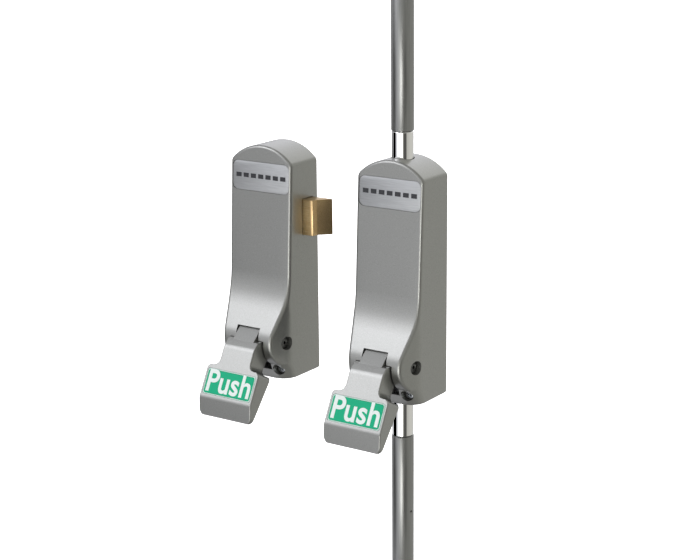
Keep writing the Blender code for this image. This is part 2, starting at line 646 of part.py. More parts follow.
def make_spigot(name, carriage_end, shoulder, tube_end, pin_height, pivot):
    """The bright spigot between a carriage and its rod: turned down to a stub at both ends."""
    way = 1.0 if tube_end > shoulder else -1.0
    stations = [(carriage_end, SPIGOT_END_RADIUS), (shoulder, SPIGOT_END_RADIUS), (shoulder, SPIGOT_RADIUS),
                (tube_end - way * GAP, SPIGOT_RADIUS), (tube_end - way * GAP, TUBE_BORE - GAP),
                (tube_end + way * 15.0, TUBE_BORE - GAP)]
    spigot = turned(name, "z", (0.0, ROD_DEPTH), stations, 24)
    return finish(cut(spigot, cross_hole(pin_height)), name, "chrome", 0.0, pivot)


def make_rod(name, span, pivot):
    """A painted tube."""
    tube = turned(name, "z", (0.0, ROD_DEPTH), [(span[0], ROD_RADIUS), (span[1], ROD_RADIUS)], 24)
    bore = turned("bore", "z", (0.0, ROD_DEPTH), [(span[0] - 1, TUBE_BORE), (span[1] + 1, TUBE_BORE)], 24)
    return finish(cut(tube, bore), name, "rod_paint", 0.0, pivot)


def make_tip(name, tube_end, way, pivot):
    """The steel bolt on a rod's free end, with a rounded nose."""
    stations = [(tube_end - way * 15.0, TUBE_BORE - GAP), (tube_end + way * GAP, TUBE_BORE - GAP),
                (tube_end + way * GAP, SPIGOT_RADIUS), (tube_end + way * (TIP_LENGTH - 4.0), SPIGOT_RADIUS),
                (tube_end + way * (TIP_LENGTH - 1.4), SPIGOT_RADIUS - 1.4),
                (tube_end + way * TIP_LENGTH, SPIGOT_RADIUS - 4.0)]
    return finish(turned(name, "z", (0.0, ROD_DEPTH), stations, 24), name, "steel", 0.0, pivot)


def make_rod_pin(name, z, pivot):
    """The spring pin that holds a spigot in its carriage."""
    pin = turned(name, "x", (ROD_DEPTH, z), [(-8.6, 1.2), (-8.2, 1.5), (8.2, 1.5), (8.6, 1.2)], 12)
    return finish(pin, name, "spring_steel", 0.0, pivot)


def make_rod_guide(name, height):
    """A cast bracket on the door that keeps a rod in line."""
    base = prism(name, rounded((-24.0, height - 9.0), (24.0, height + 9.0), 4.0, 3), "d", 0.0, 3.0)
    collar = arc((0.0, ROD_DEPTH), 12.0, 0, 180, 10) + [(-13.5, 2.0), (13.5, 2.0)]
    base = fuse(base, prism("collar", collar, "z", height - 7.0, height + 7.0))
    base = cut(base, turned("bore", "z", (0.0, ROD_DEPTH), [(height - 20, ROD_RADIUS + 0.4),
                                                            (height + 20, ROD_RADIUS + 0.4)], 24))
    for side in (-1, 1):
        base = cut(base, turned("fixing", "d", (side * 19.0, height), [(-1.0, 2.4), (4.0, 2.4)], 12))
    return finish(base, name, "silver_paint")


def make_latch_bolt(pivot, unit_x):
    """The brass bolt: bevelled on the closing side, with a slotted tail for the crank's pin."""
    bevel = [(BOLT_REAR, BOLT_BACK), (BOLT_TIP, BOLT_BACK)]
    bevel += arc((34.0, BOLT_FRONT - 3.2), 3.2, 42, 90, 4) + [(BOLT_REAR, BOLT_FRONT)]
    body = prism("latch_bolt", bevel, "z", BOLT_LOW, BOLT_HIGH)
    half = CRANK_SWING / 2.0
    pin_x = CRANK_AT[0] + CRANK_LONG * math.sin(half)
    slot_z = (CRANK_AT[1] + CRANK_LONG * math.cos(half), CRANK_AT[1] + CRANK_LONG)
    tail = slotted_arm("tail", pin_x - 4.9, BOLT_REAR + 1.0, 112.2, 124.6, pin_x, slot_z, True)
    return finish(fuse(body, tail), "latch_bolt", "brass", unit_x, pivot)


def make_bolt_guide(unit_x):
    """The steel sleeve that the bolt slides in, behind the cover's side."""
    sleeve = box("bolt_guide", (12.0, PLATE_THICK + GAP, BOLT_LOW - 2.4), (24.4, 20.9, BOLT_HIGH + 2.4))
    hollow = box("hollow", (10.0, BOLT_BACK - 0.4, BOLT_LOW - 0.4), (26.0, BOLT_FRONT + 0.4, BOLT_HIGH + 0.4))
    sleeve = cut(sleeve, hollow)
    for height in (BOLT_LOW - 5.4, BOLT_HIGH + 5.4):
        ear = box("ear", (14.0, PLATE_THICK + GAP, height - 3.6), (23.0, 4.8, height + 3.6))
        hole = turned("hole", "d", (18.5, height), [(0, 1.8), (8, 1.8)], 12)
        sleeve = fuse(sleeve, cut(ear, hole))
    return finish(sleeve, "bolt_guide", "zinc_plate", unit_x)


def make_bolt_guide_screws(unit_x):
    for word, height in (("lower", BOLT_LOW - 5.4), ("upper", BOLT_HIGH + 5.4)):
        make_screw("bolt_guide_screw_" + word, unit_x, (18.5, height), 4.8 + GAP, 3.0, 1.5, 2.9)


def build_pad_group(prefix, unit_x):
    """The pad and what turns with it, on the hinge's axis, with the hinge pin itself."""
    pivot = axis_at(prefix + "_pad_axis", unit_x, *PIVOT)
    make_push_pad(prefix + "_push_pad", unit_x, pivot)
    make_label(prefix + "_push_label", unit_x, pivot)
    make_bushes(prefix, unit_x, pivot)
    make_hinge_pin((prefix + "_hinge_pin", prefix + "_hinge_nut"), unit_x)


def build_rod_unit():
    """Everything on the right: the cover with a rod out of its top and its bottom."""
    holes = [turned("hole", "z", (0.0, ROD_DEPTH), [(low, ROD_RADIUS + 0.4), (high, ROD_RADIUS + 0.4)], 28)
             for low, high in ((-2.0, 5.0), (160.0, 175.0))]
    make_cover("rod_cover", 0.0, holes)
    make_badge("rod_badge", 0.0)
    make_backplate("rod_backplate", 0.0, (KEEPER_HEIGHT, UPPER_KEEPER_HEIGHT), [])
    make_cover_screws("rod", 0.0)
    make_keeper("rod_spring_keeper", 0.0, KEEPER_HEIGHT, True)
    make_keeper("rod_upper_keeper", 0.0, UPPER_KEEPER_HEIGHT, False)
    make_keeper_screws("rod_spring_keeper", 0.0, KEEPER_HEIGHT)
    make_keeper_screws("rod_upper_keeper", 0.0, UPPER_KEEPER_HEIGHT)
    build_pad_group("rod", 0.0)

    lower = axis_at("lower_rod_axis", 0.0, ROD_DEPTH, 0.0)
    make_lower_carriage(lower)
    make_spigot("lower_spigot", 19.7, 7.7, LOWER_TUBE[1], 14.0, lower)
    make_rod_pin("lower_rod_pin", 14.0, lower)
    make_rod("lower_rod", LOWER_TUBE, lower)
    make_tip("lower_bolt_tip", LOWER_TUBE[0], -1.0, lower)
    make_rod_guide("lower_rod_guide", LOWER_GUIDE)

    upper = axis_at("upper_rod_axis", 0.0, ROD_DEPTH, ARCH_TOP)
    make_upper_carriage(upper)
    make_spigot("upper_spigot", 142.3, 155.3, UPPER_TUBE[0], 148.5, upper)
    make_rod_pin("upper_rod_pin", 148.5, upper)
    make_rod("upper_rod", UPPER_TUBE, upper)
    make_tip("upper_bolt_tip", UPPER_TUBE[1], 1.0, upper)
    make_rod_guide("upper_rod_guide", UPPER_GUIDE)

    make_reversing_lever(axis_at("reversing_lever_axis", LEVER_AT[0], LEVER_LAYER[0], LEVER_AT[1]))
    make_stud(("lever_stud", "lever_clip"), 0.0, LEVER_AT)
    make_spring("rod_return_spring", 0.0, (0.0, 19.8, 44.0 + GAP), (0.0, 19.8, KEEPER_HEIGHT + 2.0 - GAP),
                3.6, 0.7, 6)


def build_latch_unit(unit_x):
    """Everything on the left: the cover with the sprung bolt out of its side."""
    window = box("window", (20.0, BOLT_BACK - 0.4, BOLT_LOW - 0.4), (30.0, BOLT_FRONT + 0.4, BOLT_HIGH + 0.4))
    make_cover("latch_cover", unit_x, [window])
    make_badge("latch_badge", unit_x)
    spring_seat = box("seat", (-23.4, 1.0, 125.4), (-21.8, 16.0, 132.0))
    make_backplate("latch_backplate", unit_x, (KEEPER_HEIGHT,), [spring_seat])
    make_cover_screws("latch", unit_x)
    make_keeper("latch_spring_keeper", unit_x, KEEPER_HEIGHT, True)
    make_keeper_screws("latch_spring_keeper", unit_x, KEEPER_HEIGHT)
    build_pad_group("latch", unit_x)

    make_lift_slide(axis_at("lift_slide_axis", unit_x, ROD_DEPTH, 16.0), unit_x)
    make_bell_crank(axis_at("bell_crank_axis", unit_x + CRANK_AT[0], LEVER_LAYER[0], CRANK_AT[1]), unit_x)
    make_stud(("crank_stud", "crank_clip"), unit_x, CRANK_AT)
    bolt_height = (BOLT_LOW + BOLT_HIGH) / 2.0
    make_latch_bolt(axis_at("latch_bolt_axis", unit_x, (BOLT_BACK + BOLT_FRONT) / 2.0, bolt_height), unit_x)
    make_bolt_guide(unit_x)
    make_bolt_guide_screws(unit_x)
    make_spring("slide_return_spring", unit_x, (0.0, 19.8, 44.0 + GAP), (0.0, 19.8, KEEPER_HEIGHT + 2.0 - GAP),
                3.6, 0.7, 6)
    make_spring("bolt_spring", unit_x, (-21.8 + GAP, 12.0, 128.6), (BOLT_REAR - GAP, 12.0, 128.6), 1.8, 0.45, 7)


clear_scene()
build_rod_unit()
build_latch_unit(-UNIT_PITCH)
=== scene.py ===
import math

import bmesh
import bpy
from mathutils import Matrix, Vector


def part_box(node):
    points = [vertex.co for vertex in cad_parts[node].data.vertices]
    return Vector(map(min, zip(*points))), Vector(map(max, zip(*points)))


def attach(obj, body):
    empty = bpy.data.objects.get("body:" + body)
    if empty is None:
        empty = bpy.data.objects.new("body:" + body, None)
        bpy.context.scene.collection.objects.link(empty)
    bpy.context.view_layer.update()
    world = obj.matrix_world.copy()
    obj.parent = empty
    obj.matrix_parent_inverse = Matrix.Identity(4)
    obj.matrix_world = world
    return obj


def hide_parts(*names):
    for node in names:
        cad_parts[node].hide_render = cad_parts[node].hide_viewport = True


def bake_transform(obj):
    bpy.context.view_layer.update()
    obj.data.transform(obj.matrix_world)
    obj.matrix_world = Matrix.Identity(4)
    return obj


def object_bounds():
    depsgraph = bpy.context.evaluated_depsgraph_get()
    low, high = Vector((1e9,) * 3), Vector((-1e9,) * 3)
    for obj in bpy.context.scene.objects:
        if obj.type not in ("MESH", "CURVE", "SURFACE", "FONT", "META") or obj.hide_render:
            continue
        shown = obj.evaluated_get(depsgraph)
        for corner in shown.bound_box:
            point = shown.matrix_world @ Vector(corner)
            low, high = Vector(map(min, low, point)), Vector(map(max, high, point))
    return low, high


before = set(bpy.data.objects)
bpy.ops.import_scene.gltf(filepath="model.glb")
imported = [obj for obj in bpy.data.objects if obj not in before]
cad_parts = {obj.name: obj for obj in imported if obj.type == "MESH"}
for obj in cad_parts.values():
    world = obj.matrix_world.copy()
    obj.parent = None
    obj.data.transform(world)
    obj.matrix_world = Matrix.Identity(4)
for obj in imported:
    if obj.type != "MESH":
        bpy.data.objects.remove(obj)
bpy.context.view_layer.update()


# --- Backplates and mechanism -------------------------------------------------------------
# Each unit is built up on a pressed steel backplate with riveted pillars. The slides, levers,
# keepers and screws are zinc-plated steel, the studs are turned from bright bar, the bushes are
# acetal, and the springs, clips and cross pins are tempered wire and strip.

def linear(code):
    """An sRGB hex colour as linear light."""
    light = []
    for start in (1, 3, 5):
        part = int(code[start:start + 2], 16) / 255.0
        light.append(part / 12.92 if part <= 0.04045 else ((part + 0.055) / 1.055) ** 2.4)
    return light + [1.0]


def add_node(tree, kind, values=None, links=None, **settings):
    """Adds a node with its settings, its unlinked values and the outputs that feed it."""
    node = tree.nodes.new(kind)
    for name, value in settings.items():
        setattr(node, name, value)
    for name, value in (values or {}).items():
        node.inputs[name].default_value = value
    for name, (source, output) in (links or {}).items():
        tree.links.new(source.outputs[output], node.inputs[name])
    return node


def new_finish(name, colour, metallic, roughness):
    """A material with its Principled shader set, and a texture place in the part's own metres."""
    finish = bpy.data.materials.new(name)
    finish.use_nodes = True
    shader = finish.node_tree.nodes["Principled BSDF"]
    shader.inputs["Base Color"].default_value = linear(colour)
    shader.inputs["Metallic"].default_value = metallic
    shader.inputs["Roughness"].default_value = roughness
    place = add_node(finish.node_tree, "ShaderNodeTexCoord")
    return finish, finish.node_tree, shader, place


def apply_pattern(tree, shader, pattern, tones=None, roughness=None, relief=None):
    """Lets a pattern vary the colour, the roughness, and the surface by (height in mm, strength)."""
    if tones:
        ramp = add_node(tree, "ShaderNodeValToRGB", links={"Fac": (pattern, "Fac")})
        for stop, position, tone in zip(ramp.color_ramp.elements, (0.3, 0.7), tones):
            stop.position = position
            stop.color = linear(tone)
        tree.links.new(ramp.outputs["Color"], shader.inputs["Base Color"])
    if roughness:
        span = add_node(tree, "ShaderNodeMapRange", {"To Min": roughness[0], "To Max": roughness[1]},
                        {"Value": (pattern, "Fac")})
        tree.links.new(span.outputs["Result"], shader.inputs["Roughness"])
    if relief:
        bump = add_node(tree, "ShaderNodeBump", {"Distance": relief[0] / 1000.0, "Strength": relief[1]},
                        {"Height": (pattern, "Fac")})
        tree.links.new(bump.outputs["Normal"], shader.inputs["Normal"])


# zinc plate: a bluish bright metal with cloudy 6 mm patches and a fine 0.7 mm grain
zinc_plate, tree, shader, place = new_finish("bright_zinc_plate", "#BFC3C8", 1.0, 0.34)
cloud = add_node(tree, "ShaderNodeTexNoise", {"Scale": 1000 / 6.0, "Detail": 4.0},
                 {"Vector": (place, "Object")})
apply_pattern(tree, shader, cloud, tones=("#B1B5BA", "#C6C9CD"), roughness=(0.26, 0.42))
grain = add_node(tree, "ShaderNodeTexNoise", {"Scale": 1000 / 0.7},
                 {"Vector": (place, "Object")})
apply_pattern(tree, shader, grain, relief=(0.02, 0.25))

# turned steel: fine tool rings across the bar, drawn 1.6 mm apart so that they show
turned_steel, tree, shader, place = new_finish("turned_steel", "#AEB0B2", 1.0, 0.3)
ring_step_mm, waves_per_unit = 1.5783, 10 / math.pi
rings = add_node(tree, "ShaderNodeTexWave",
                 {"Scale": 1000 / waves_per_unit / ring_step_mm, "Distortion": 0.6},
                 {"Vector": (place, "Object")}, bands_direction="Z")
apply_pattern(tree, shader, rings, roughness=(0.24, 0.36), relief=(0.01, 0.2))

# spring steel: tempered to a brownish grey, slightly mottled
spring_steel, tree, shader, place = new_finish("tempered_spring_steel", "#77746F", 1.0, 0.36)
mottle = add_node(tree, "ShaderNodeTexNoise", {"Scale": 1000 / 1.5, "Detail": 3.0},
                  {"Vector": (place, "Object")})
apply_pattern(tree, shader, mottle, tones=("#625E59", "#8C8983"))

# acetal: an off-white bearing plastic, turned, with a soft sheen
acetal, tree, shader, place = new_finish("turned_acetal", "#DEDCD6", 0.0, 0.45)
haze = add_node(tree, "ShaderNodeTexNoise", {"Scale": 1000 / 2.0},
                {"Vector": (place, "Object")})
apply_pattern(tree, shader, haze, roughness=(0.38, 0.52))

plated = ["rod_backplate", "latch_backplate", "rod_spring_keeper", "latch_spring_keeper",
          "rod_upper_keeper", "lower_carriage", "upper_carriage", "reversing_lever", "lift_slide",
          "bell_crank", "bolt_guide", "bolt_guide_screw_lower", "bolt_guide_screw_upper"]
plated += ["%s_keeper_screw_%s" % (keeper, side)
           for keeper in ("rod_spring", "rod_upper", "latch_spring") for side in ("left", "right")]
sprung = ["lever_clip", "crank_clip", "rod_return_spring", "slide_return_spring", "bolt_spring",
          "upper_rod_pin", "lower_rod_pin"]
bushes = ["rod_pad_bush_left", "rod_pad_bush_right", "latch_pad_bush_left", "latch_pad_bush_right"]
for finish, names in ((zinc_plate, plated), (turned_steel, ["lever_stud", "crank_stud"]),
                      (spring_steel, sprung), (acetal, bushes)):
    for name in names:
        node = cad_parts[name]
        node.data.materials.clear()
        node.data.materials.append(finish)


# --- Springs ------------------------------------------------------------------------------
# Three compression springs of tempered wire: two sit over a carriage and a slide and push them
# down, and one pushes the latch bolt out. Each coil is a welded, smoothed copy of its part.

def pick(piece):
    """Makes a piece the only selected one and the active one."""
    bpy.ops.object.select_all(action="DESELECT")
    piece.select_set(True)
    bpy.context.view_layer.objects.active = piece


def smooth(piece, angle=32.0):
    """Shades a piece smooth up to an angle."""
    pick(piece)
    bpy.ops.object.shade_smooth_by_angle(angle=math.radians(angle))


for name, low_body, high_body, way in (("rod_return_spring", "lower_rod_drive", "body", 2),
                                       ("slide_return_spring", "lift", "body", 2),
                                       ("bolt_spring", "body", "bolt", 0)):
    coil = bpy.data.objects.new(name + "_coil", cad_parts[name].data.copy())
    bpy.context.scene.collection.objects.link(coil)
    pick(coil)
    bpy.ops.object.mode_set(mode="EDIT")
    bpy.ops.mesh.select_all(action="SELECT")
    bpy.ops.mesh.remove_doubles(threshold=0.000001)
    bpy.ops.mesh.normals_make_consistent(inside=False)
    bpy.ops.object.mode_set(mode="OBJECT")
    smooth(coil, 50.0)
    low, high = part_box(name)
    near_end = [(a + b) / 2.0 for a, b in zip(low, high)]
    far_end = list(near_end)
    near_end[way], far_end[way] = low[way], high[way]
    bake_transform(coil)
    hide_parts(name)


# --- Covers -------------------------------------------------------------------------------
# One die-cast zinc shell over each backplate, sprayed with a satin silver paint. Its face leans
# back, sweeps out in a hollow curve to a nose over the hinge, and drops to a sharp lip with a
# skirt under it. The sides draw in towards the nose, and a shallow arch closes the top.

cover_low, cover_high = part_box("rod_cover")
unit_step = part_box("latch_cover")[0][0] - cover_low[0]
half_width = (cover_high[0] - cover_low[0]) * 500.0
cover_height = (cover_high[2] - cover_low[2]) * 1000.0


def at(x, depth, height):
    """A place on a unit: x from its middle, depth out from the door, height above the cover's foot."""
    return Vector((x / 1000.0, -depth / 1000.0, height / 1000.0 + cover_low[2]))


def arc(centre, radius, start, end, steps):
    """Points along an arc, angles in degrees."""
    angles = [math.radians(start + (end - start) * step / steps) for step in range(steps + 1)]
    return [(centre[0] + radius * math.cos(angle), centre[1] + radius * math.sin(angle))
            for angle in angles]


def round_box(half, low, high, corner, steps):
    """A box outline with round corners, from -half to half and from low to high."""
    outline = arc((half - corner, high - corner), corner, 0, 90, steps)
    outline += arc((-half + corner, high - corner), corner, 90, 180, steps)
    outline += arc((-half + corner, low + corner), corner, 180, 270, steps)
    return outline + arc((half - corner, low + corner), corner, 270, 360, steps)


def lofted(name, rings):
    """A closed body: a circle is filled, drawn to the first ring and extruded to each of the others."""
    bpy.ops.object.select_all(action="DESELECT")
    bpy.ops.mesh.primitive_circle_add(vertices=len(rings[0]), radius=0.01)
    body = bpy.context.object
    body.name = name
    bpy.ops.object.mode_set(mode="EDIT")
    bpy.ops.mesh.select_all(action="SELECT")
    bpy.ops.mesh.edge_face_add()
    mesh = bmesh.from_edit_mesh(body.data)
    order = [vertex.index for vertex in mesh.verts]
    mesh.verts.ensure_lookup_table()
    for index, place in zip(order, rings[0]):
        mesh.verts[index].co = place
    for ring in rings[1:]:
        bpy.ops.mesh.extrude_region_move()
        mesh = bmesh.from_edit_mesh(body.data)
        mesh.verts.ensure_lookup_table()
        grown = []
        for index, place in zip(order, ring):
            old = mesh.verts[index]
            new = [edge.other_vert(old) for edge in old.link_edges if edge.other_vert(old).select][0]
            new.co = place
            grown.append(new.index)
        order = grown
    bpy.ops.mesh.select_all(action="SELECT")
    bpy.ops.mesh.normals_make_consistent(inside=False)
    bpy.ops.object.mode_set(mode="OBJECT")
    return body


def pushed(name, outline, along, low, high):
    """An outline pushed along x, depth or height between two places."""
    if along == "x":
        rings = [[at(end, a, b) for a, b in outline] for end in (low, high)]
    elif along == "depth":
        rings = [[at(a, end, b) for a, b in outline] for end in (low, high)]
    else:
        rings = [[at(a, b, end) for a, b in outline] for end in (low, high)]
    return lofted(name, rings)


def block(name, low, high):
    """A block between two corners, each (x, depth, height)."""
    outline = [(low[0], low[1]), (high[0], low[1]), (high[0], high[1]), (low[0], high[1])]
    return pushed(name, outline, "height", low[2], high[2])


def turned(name, along, centre, stations, sides=64):
    """A turned body on an axis: stations are (place along the axis, radius)."""
    rings = []
    for place, radius in stations:
        circle = arc(centre, radius, 0, 360.0 - 360.0 / sides, sides - 1)
        if along == "x":
            rings.append([at(place, a, b) for a, b in circle])
        elif along == "depth":
            rings.append([at(a, place, b) for a, b in circle])
        else:
            rings.append([at(a, b, place) for a, b in circle])
    return lofted(name, rings)


def apply_modifier(piece, kind, **settings):
    """Adds a modifier with its settings and applies it."""
    modifier = piece.modifiers.new(kind.lower(), kind)
    for name, value in settings.items():
        setattr(modifier, name, value)
    pick(piece)
    bpy.ops.object.modifier_apply(modifier=modifier.name)


def carve(piece, cutter, operation="DIFFERENCE"):
    """Cuts, joins or keeps what two bodies share, then drops the second."""
    apply_modifier(piece, "BOOLEAN", operation=operation, solver="EXACT", object=cutter)
    bpy.data.objects.remove(cutter, do_unlink=True)


def soften(piece, width_mm, angle=35.0, segments=3):
    """Rounds every edge that turns by more than the angle."""
    apply_modifier(piece, "BEVEL", width=width_mm / 1000.0, segments=segments, limit_method="ANGLE",
                   angle_limit=math.radians(angle), use_clamp_overlap=True)


def round_edges(piece, wanted, width_mm, segments):
    """Welds a piece's closest points, then rounds the edges that a test picks out."""
    pick(piece)
    bpy.ops.object.mode_set(mode="EDIT")
    bpy.ops.mesh.select_all(action="SELECT")
    bpy.ops.mesh.remove_doubles(threshold=0.00012)
    bpy.ops.mesh.select_all(action="DESELECT")
    mesh = bmesh.from_edit_mesh(piece.data)
    for edge in mesh.edges:
        if wanted(edge):
            edge.select = True
    bmesh.update_edit_mesh(piece.data)
    bpy.ops.mesh.bevel(offset=width_mm / 1000.0, segments=segments, affect="EDGES",
                       clamp_overlap=False)
    bpy.ops.object.mode_set(mode="OBJECT")


def dress(piece, finish, body, slot, *nodes):
    """Gives a finished piece its material and its body, and hides the frame nodes it stands for; the slot
    is not used.
    """
    piece.data.materials.clear()
    piece.data.materials.append(finish)
    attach(piece, body)
    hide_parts(*nodes)


def twin(piece, name):
    """A copy of a rod unit's piece for the latch unit, with its own mesh."""
    copy = piece.copy()
    copy.data = piece.data.copy()
    copy.name = name
    copy.data.transform(Matrix.Translation((unit_step, 0.0, 0.0)))
    bpy.context.scene.collection.objects.link(copy)
    return copy


lip_height, skirt_depth, foot_depth, foot_corner = 13.6, 44.6, 40.0, 12.5
arch_radius, arch_corner = 37.0, 5.0
face_lean, ramp_angle = math.radians(2.95), math.radians(31.0)
sweep_top, sweep_depth, sweep_radius, nose_radius = 78.0, 35.85, 60.0, 20.0
sweep_centre = (sweep_depth + sweep_radius * math.cos(face_lean),
                sweep_top + sweep_radius * math.sin(face_lean))
nose_centre = (33.3, 29.0)
ramp_top = sweep_centre[1] - sweep_radius * math.sin(ramp_angle)
ramp_low = nose_centre[1] + nose_radius * math.sin(ramp_angle)


def face_depth(height):
    """Depth of the cover's face: a leaning flat, a hollow sweep, a short ramp and the round nose."""
    if height >= sweep_top:
        return sweep_depth - (height - sweep_top) * math.tan(face_lean)
    if height >= ramp_top:
        return sweep_centre[0] - math.sqrt(sweep_radius ** 2 - (sweep_centre[1] - height) ** 2)
    if height >= ramp_low:
        top = sweep_centre[0] - sweep_radius * math.cos(ramp_angle)
        low = nose_centre[0] + nose_radius * math.cos(ramp_angle)
        return top + (low - top) * (ramp_top - height) / (ramp_top - ramp_low)
    return nose_centre[0] + math.sqrt(nose_radius ** 2 - (height - nose_centre[1]) ** 2)


crease_start, crease_end, draw_in = 35.5, 38.5, 0.358
skirt_top, flat_side, rim_band = 13.0, 33.5, 2.6


def side_at(depth):
    """Half width at a depth: straight, then drawn in past a softened crease."""
    if depth <= crease_start:
        return half_width
    if depth >= crease_end:
        return half_width - draw_in * (depth - (crease_start + crease_end) / 2.0)
    return half_width - draw_in * (depth - crease_start) ** 2 / 2.0 / (crease_end - crease_start)


def cover_ring(height, wall=0.0, back=0.0):
    """A level section of the cover, from the back round the front to the back."""
    if height > skirt_top:
        front, share = face_depth(max(height, lip_height)) - wall, 1.0
    else:
        front, share = skirt_depth - wall, max(0.0, height / skirt_top)
    start = min(flat_side, front - 4.0)
    upper = []
    for step in (0.0, 0.25, 0.5, 0.75, 1.0):
        depth = start + (front - rim_band - start) * step
        upper.append((side_at(depth + wall) - wall, depth))
    upper.append((side_at(front + wall) - wall, front))
    upper.append((half_width - foot_corner, front))
    lower = arc((half_width - foot_corner, foot_depth - foot_corner), foot_corner - wall, 0, 90, 6)
    right = [(half_width - wall, back)]
    for low, high in zip(lower, upper):
        right.append((low[0] + (high[0] - low[0]) * share, low[1] + (high[1] - low[1]) * share))
    return right + [(-x, depth) for x, depth in reversed(right)]


def arch_outline(half, radius, top, low, corner, steps):
    """The front outline: straight sides, small corners and a shallow arch."""
    centre = top - radius
    inner_x = half - corner
    inner_z = centre + math.sqrt((radius - corner) ** 2 - inner_x ** 2)
    lean = math.degrees(math.atan2(inner_z - centre, inner_x))
    right = [(half + 1.0, low)] + arc((inner_x, inner_z), corner, 0, lean, steps)
    right += arc((0.0, centre), radius, lean, 90, steps * 3)[1:]
    return right + [(-x, height) for x, height in reversed(right[:-1])]


# sections are close together on the round nose and the sweep, and far apart where it is straight
levels = [0.0, 0.5, 1.6, 4.0, 7.0, 10.0, 12.4, lip_height]
levels += [lip_height + (39.3 - lip_height) * step / 16 for step in range(1, 17)]
levels += [44.8] + [50.2 + (sweep_top - 50.2) * step / 14 for step in range(15)]
levels += [cover_height + 1.0]
rings = []
for height in levels:
    inset = {0.0: 0.8, 0.5: 0.2}.get(height, 0.0)
    rings.append([at(x, depth, height) for x, depth in cover_ring(height, inset, inset * 2.0)])
rod_cover = lofted("rod_cover_casting", rings)
arch = arch_outline(half_width + 0.02, arch_radius, cover_height, -1.0, arch_corner, 10)
carve(rod_cover, pushed("arch", arch, "depth", -1.0, 60.0), "INTERSECT")

rim_start = at(0, 29.5, lip_height - 0.3)


def on_rim(edge):
    """Whether an edge is on the sharp rim of the face, from the lip up and round the arch."""
    ends = [vertex.co for vertex in edge.verts]
    out = max(end.y for end in ends) < rim_start.y
    above = min(end.z for end in ends) > rim_start.z
    paired = out and above and len(edge.link_faces) == 2
    return paired and edge.calc_face_angle() > math.radians(38.0)


# the rim is rounded before anything is cut
round_edges(rod_cover, on_rim, 2.1, 5)

# the hollow behind: shallow in front of the hinge, and following the face above it
wall = 2.3
low_hollow = pushed("low_hollow", cover_ring(44.0, wall, -1.0), "height", wall, 45.0)
carve(low_hollow, block("limit", (-30, -2, 0), (30, 30.0, 60)), "INTERSECT")
rings = [[at(x, depth, height) for x, depth in cover_ring(height, wall, -1.0)]
         for height in (44.0, 50.2, 57.0, 64.0, 71.0, sweep_top, cover_height + 1.0)]
high_hollow = lofted("high_hollow", rings)
inner_arch = arch_outline(half_width - wall + 0.02, arch_radius - wall, cover_height - wall, 40.0,
                          arch_corner - wall, 5)
carve(high_hollow, pushed("arch", inner_arch, "depth", -2.0, 60.0), "INTERSECT")
carve(rod_cover, low_hollow)
carve(rod_cover, high_hollow)

# the slot for the pad's tongue, the wider throat for its neck, and the hinge pin's holes
hinge, slot_half, screw_place = (39.0, 28.5), 10.2, (20.0, 8.0)
carve(rod_cover, turned("swing", "x", hinge, [(-slot_half, 14.9), (slot_half, 14.9)]))
carve(rod_cover, block("slot", (-slot_half, 29.0, 20.0), (slot_half, 60.0, 40.0)))
carve(rod_cover, block("throat", (-14.9, 29.5, 7.4), (14.9, 62.0, 31.4)))
carve(rod_cover, turned("bore", "x", hinge, [(-30, 3.3), (30, 3.3)], 32))
for side in (-1, 1):
    screw_axis = (side * screw_place[0], screw_place[1])
    carve(rod_cover, turned("sink", "x", hinge, [(side * 19.5, 5.0), (side * 30, 5.0)]))
    carve(rod_cover, turned("seat", "depth", screw_axis, [(36, 4.2), (50, 4.2)], 48))
    carve(rod_cover, turned("hole", "depth", screw_axis, [(28, 2.35), (40, 2.35)], 32))


def leaning_outline(half, low, high, corner, level):
    """A round-cornered outline on the leaning face, at a level above or below it."""
    return [at(x, face_depth(height) + level, height + level * math.tan(face_lean))
            for x, height in round_box(half, low, high, corner, 8)]


badge_low, badge_high = 137.3, 158.6
rings = [leaning_outline(25.5, badge_low - 0.3, badge_high + 0.3, 4.8, level) for level in (-1.1, 3.0)]
carve(rod_cover, lofted("recess", rings))
latch_cover = twin(rod_cover, "latch_cover_casting")
rod_axis, rod_hole = (0.0, 15.3), 8.4
for low, high in ((-2.0, 5.0), (160.0, 180.0)):
    carve(rod_cover, turned("rod_hole", "height", rod_axis, [(low, rod_hole), (high, rod_hole)]))
window = block("window", (20.0, 5.2, 105.4), (30.0, 18.9, 132.4))
window.data.transform(Matrix.Translation((unit_step, 0.0, 0.0)))
carve(latch_cover, window)

# satin silver paint: pale flake in a clear binder over a casting that is not quite flat. The
# flake is 0.05 mm across and is drawn at 0.35 mm, and the spray's peel has a 1.6 mm pitch.
silver_paint, tree, shader, place = new_finish("satin_silver_paint", "#919290", 0.8, 0.36)
flake = add_node(tree, "ShaderNodeTexNoise", {"Scale": 1000 / 0.35},
                 {"Vector": (place, "Object")})
apply_pattern(tree, shader, flake, tones=("#898A87", "#9B9C99"))
peel = add_node(tree, "ShaderNodeTexNoise", {"Scale": 1000 / 1.6, "Detail": 1.0},
                {"Vector": (place, "Object")})
apply_pattern(tree, shader, peel, roughness=(0.33, 0.41), relief=(0.012, 0.3))
shader.inputs["Coat Weight"].default_value = 0.7
shader.inputs["Coat Roughness"].default_value = 0.14
for cover, node, middle in ((rod_cover, "rod_cover", 0.0), (latch_cover, "latch_cover", unit_step)):
    # the rounded rim swells 0.005 mm past the flat sides, and is brought back after the cuts
    for vertex in cover.data.vertices:
        vertex.co.x = middle + max(-half_width / 1000.0, min(half_width / 1000.0, vertex.co.x - middle))
    smooth(cover)
    apply_modifier(cover, "WEIGHTED_NORMAL", keep_sharp=True)
    dress(cover, silver_paint, "body", "silver_paint", node)


# --- Badges -------------------------------------------------------------------------------
# A thin brushed plate with round corners, glued into a shallow recess near the top of each
# cover. It carries a plain row of dark enamel blocks.

